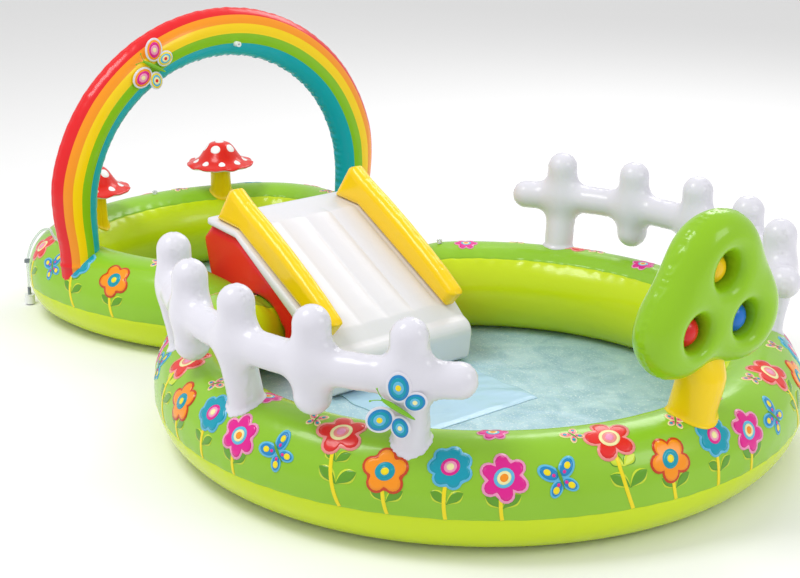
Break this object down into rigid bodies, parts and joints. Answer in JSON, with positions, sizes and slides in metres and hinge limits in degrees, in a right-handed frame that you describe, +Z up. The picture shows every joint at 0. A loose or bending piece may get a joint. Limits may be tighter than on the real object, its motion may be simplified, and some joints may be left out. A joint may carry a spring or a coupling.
{
  "type": "inflatable play pool with slide",
  "caption": "Inflatable play pool: two ring basins, a slide over the wall between them, a rainbow sprayer arch, picket fences, a ball tree and mushrooms.",
  "frame": {"origin": "on the ground under the middle of the whole footprint", "axes": "+X from the small basin to the large basin, +Z up, +Y to the side away from the hose"},
  "size_m": [2.893, 1.866, 1.0378],
  "materials": {
    "printed_green_vinyl": "glossy printed vinyl film with a flower print",
    "lime_vinyl": "glossy lime vinyl film",
    "pool_floor_vinyl": "pale blue printed vinyl sheet",
    "rainbow_vinyl": "glossy vinyl printed in five stripes",
    "white_vinyl": "glossy white vinyl film",
    "deck_vinyl": "satin white vinyl film",
    "yellow_vinyl": "glossy yellow vinyl film",
    "red_vinyl": "glossy red vinyl film",
    "tree_vinyl": "glossy green vinyl film",
    "mushroom_vinyl": "glossy red vinyl film with white spots",
    "mat_vinyl": "pale blue vinyl mat",
    "yellow_ball": "moulded soft plastic",
    "red_ball": "moulded soft plastic",
    "blue_ball": "moulded soft plastic",
    "clear_tube": "clear flexible tube",
    "grey_plastic": "moulded grey plastic",
    "white_plastic": "moulded white plastic",
    "valve_plastic": "translucent soft plastic",
    "butterfly_body": "printed green vinyl",
    "butterfly_wing_warm": "printed vinyl, white border",
    "butterfly_wing_blue": "printed vinyl, white border"
  },
  "bodies": {
    "pool": {"large_ring_printed_skin": "printed_green_vinyl", "large_ring_lime_skin": "lime_vinyl", "small_ring_printed_skin": "printed_green_vinyl", "small_ring_lime_skin": "lime_vinyl", "large_basin_floor": "pool_floor_vinyl", "small_basin_floor": "pool_floor_vinyl", "rainbow_arch": "rainbow_vinyl", "sprayer_nozzle": "white_plastic", "sprayer_tube": "clear_tube", "tube_clip": "grey_plastic", "hose_tail": "grey_plastic", "front_fence": "white_vinyl", "back_fence": "white_vinyl", "tree_crown": "tree_vinyl", "tree_trunk": "yellow_vinyl", "mushroom_cap_far": "mushroom_vinyl", "mushroom_cap_near": "mushroom_vinyl", "mushroom_stalk_far": "yellow_vinyl", "mushroom_stalk_near": "yellow_vinyl", "butterfly_body_arch": "butterfly_body", "butterfly_body_fence": "butterfly_body", "valve_stems": "valve_plastic", "drain_socket": "valve_plastic"},
    "slide": {"slide_deck": "deck_vinyl", "slide_base": "red_vinyl", "slide_bolster_near": "yellow_vinyl", "slide_bolster_far": "yellow_vinyl", "landing_mat": "mat_vinyl", "slide_valve_stem": "valve_plastic"},
    "ball_yellow": {"ball_yellow": "yellow_ball"},
    "ball_red": {"ball_red": "red_ball"},
    "ball_blue": {"ball_blue": "blue_ball"},
    "valve_cap_large_ring": {"valve_cap_large_ring": "valve_plastic"},
    "valve_cap_small_ring": {"valve_cap_small_ring": "valve_plastic"},
    "valve_cap_arch": {"valve_cap_arch": "valve_plastic"},
    "valve_cap_tree": {"valve_cap_tree": "valve_plastic"},
    "valve_cap_front_fence": {"valve_cap_front_fence": "valve_plastic"},
    "valve_cap_back_fence": {"valve_cap_back_fence": "valve_plastic"},
    "valve_cap_slide": {"valve_cap_slide": "valve_plastic"},
    "hose_coupling": {"hose_coupling": "white_plastic"},
    "drain_plug": {"drain_plug": "white_plastic"},
    "butterfly_upper_wing_arch": {"butterfly_upper_wing_arch": "butterfly_wing_warm"},
    "butterfly_lower_wing_arch": {"butterfly_lower_wing_arch": "butterfly_wing_warm"},
    "butterfly_upper_wing_fence": {"butterfly_upper_wing_fence": "butterfly_wing_blue"},
    "butterfly_lower_wing_fence": {"butterfly_lower_wing_fence": "butterfly_wing_blue"}
  },
  "joints": [
    {"name": "slide_lift", "type": "slide", "parent": "pool", "child": "slide", "axis": [0, 0, 1], "range_m": [0, 0.6]},
    {"name": "ball_yellow_pull", "type": "slide", "parent": "pool", "child": "ball_yellow", "axis": [1, 0, 0], "range_m": [-0.2, 0.2]},
    {"name": "ball_red_pull", "type": "slide", "parent": "pool", "child": "ball_red", "axis": [1, 0, 0], "range_m": [-0.2, 0.2]},
    {"name": "ball_blue_pull", "type": "slide", "parent": "pool", "child": "ball_blue", "axis": [1, 0, 0], "range_m": [-0.2, 0.2]},
    {"name": "valve_cap_large_ring_hinge", "type": "hinge", "parent": "pool", "child": "valve_cap_large_ring", "pos_m": [-0.15118, 0.42658, 0.2973], "axis": [0, 1, 0], "range_deg": [0, 150]},
    {"name": "valve_cap_small_ring_hinge", "type": "hinge", "parent": "pool", "child": "valve_cap_small_ring", "pos_m": [-1.31, 0.0095, 0.2973], "axis": [-1, 0, 0], "range_deg": [0, 150]},
    {"name": "valve_cap_arch_hinge", "type": "hinge", "parent": "pool", "child": "valve_cap_arch", "pos_m": [-0.8973, 0.4535, 0.75503], "axis": [0, 1, 0], "range_deg": [0, 150]},
    {"name": "valve_cap_tree_hinge", "type": "hinge", "parent": "pool", "child": "valve_cap_tree", "pos_m": [1.2987, 0, 0.6095], "axis": [0, 1, 0], "range_deg": [0, 150]},
    {"name": "valve_cap_front_fence_hinge", "type": "hinge", "parent": "pool", "child": "valve_cap_front_fence", "pos_m": [0.45863, -0.80521, 0.4595], "axis": [0.9969, -0.0785, 0], "range_deg": [0, 150]},
    {"name": "valve_cap_back_fence_hinge", "type": "hinge", "parent": "pool", "child": "valve_cap_back_fence", "pos_m": [0.45042, 0.90949, 0.4595], "axis": [0.9969, 0.0785, 0], "range_deg": [0, 150]},
    {"name": "valve_cap_slide_hinge", "type": "hinge", "parent": "slide", "child": "valve_cap_slide", "pos_m": [-0.5073, 0.0095, 0.411], "axis": [0, 0, -1], "range_deg": [0, 150]},
    {"name": "hose_coupling_spin", "type": "hinge", "parent": "pool", "child": "hose_coupling", "pos_m": [-1.226, -0.571, 0.028], "axis": [0, 0, 1], "continuous": true},
    {"name": "drain_plug_pull", "type": "slide", "parent": "pool", "child": "drain_plug", "axis": [0, 0, 1], "range_m": [0, 0.03]},
    {"name": "butterfly_upper_wing_arch_fold", "type": "hinge", "parent": "pool", "child": "butterfly_upper_wing_arch", "pos_m": [-0.7735, -0.2895, 0.8781], "axis": [0, -0.8829, 0.4695], "range_deg": [0, 60]},
    {"name": "butterfly_lower_wing_arch_fold", "type": "hinge", "parent": "pool", "child": "butterfly_lower_wing_arch", "pos_m": [-0.7735, -0.28452, 0.88745], "axis": [0, 0.8829, -0.4695], "range_deg": [0, 60]},
    {"name": "butterfly_upper_wing_fence_fold", "type": "hinge", "parent": "pool", "child": "butterfly_upper_wing_fence", "pos_m": [1.07037, -0.73185, 0.38732], "axis": [-0.7052, -0.5314, 0.4695], "range_deg": [0, 60]},
    {"name": "butterfly_lower_wing_fence_fold", "type": "hinge", "parent": "pool", "child": "butterfly_lower_wing_fence", "pos_m": [1.07435, -0.72885, 0.39668], "axis": [0.7052, 0.5314, -0.4695], "range_deg": [0, 60]}
  ]
}
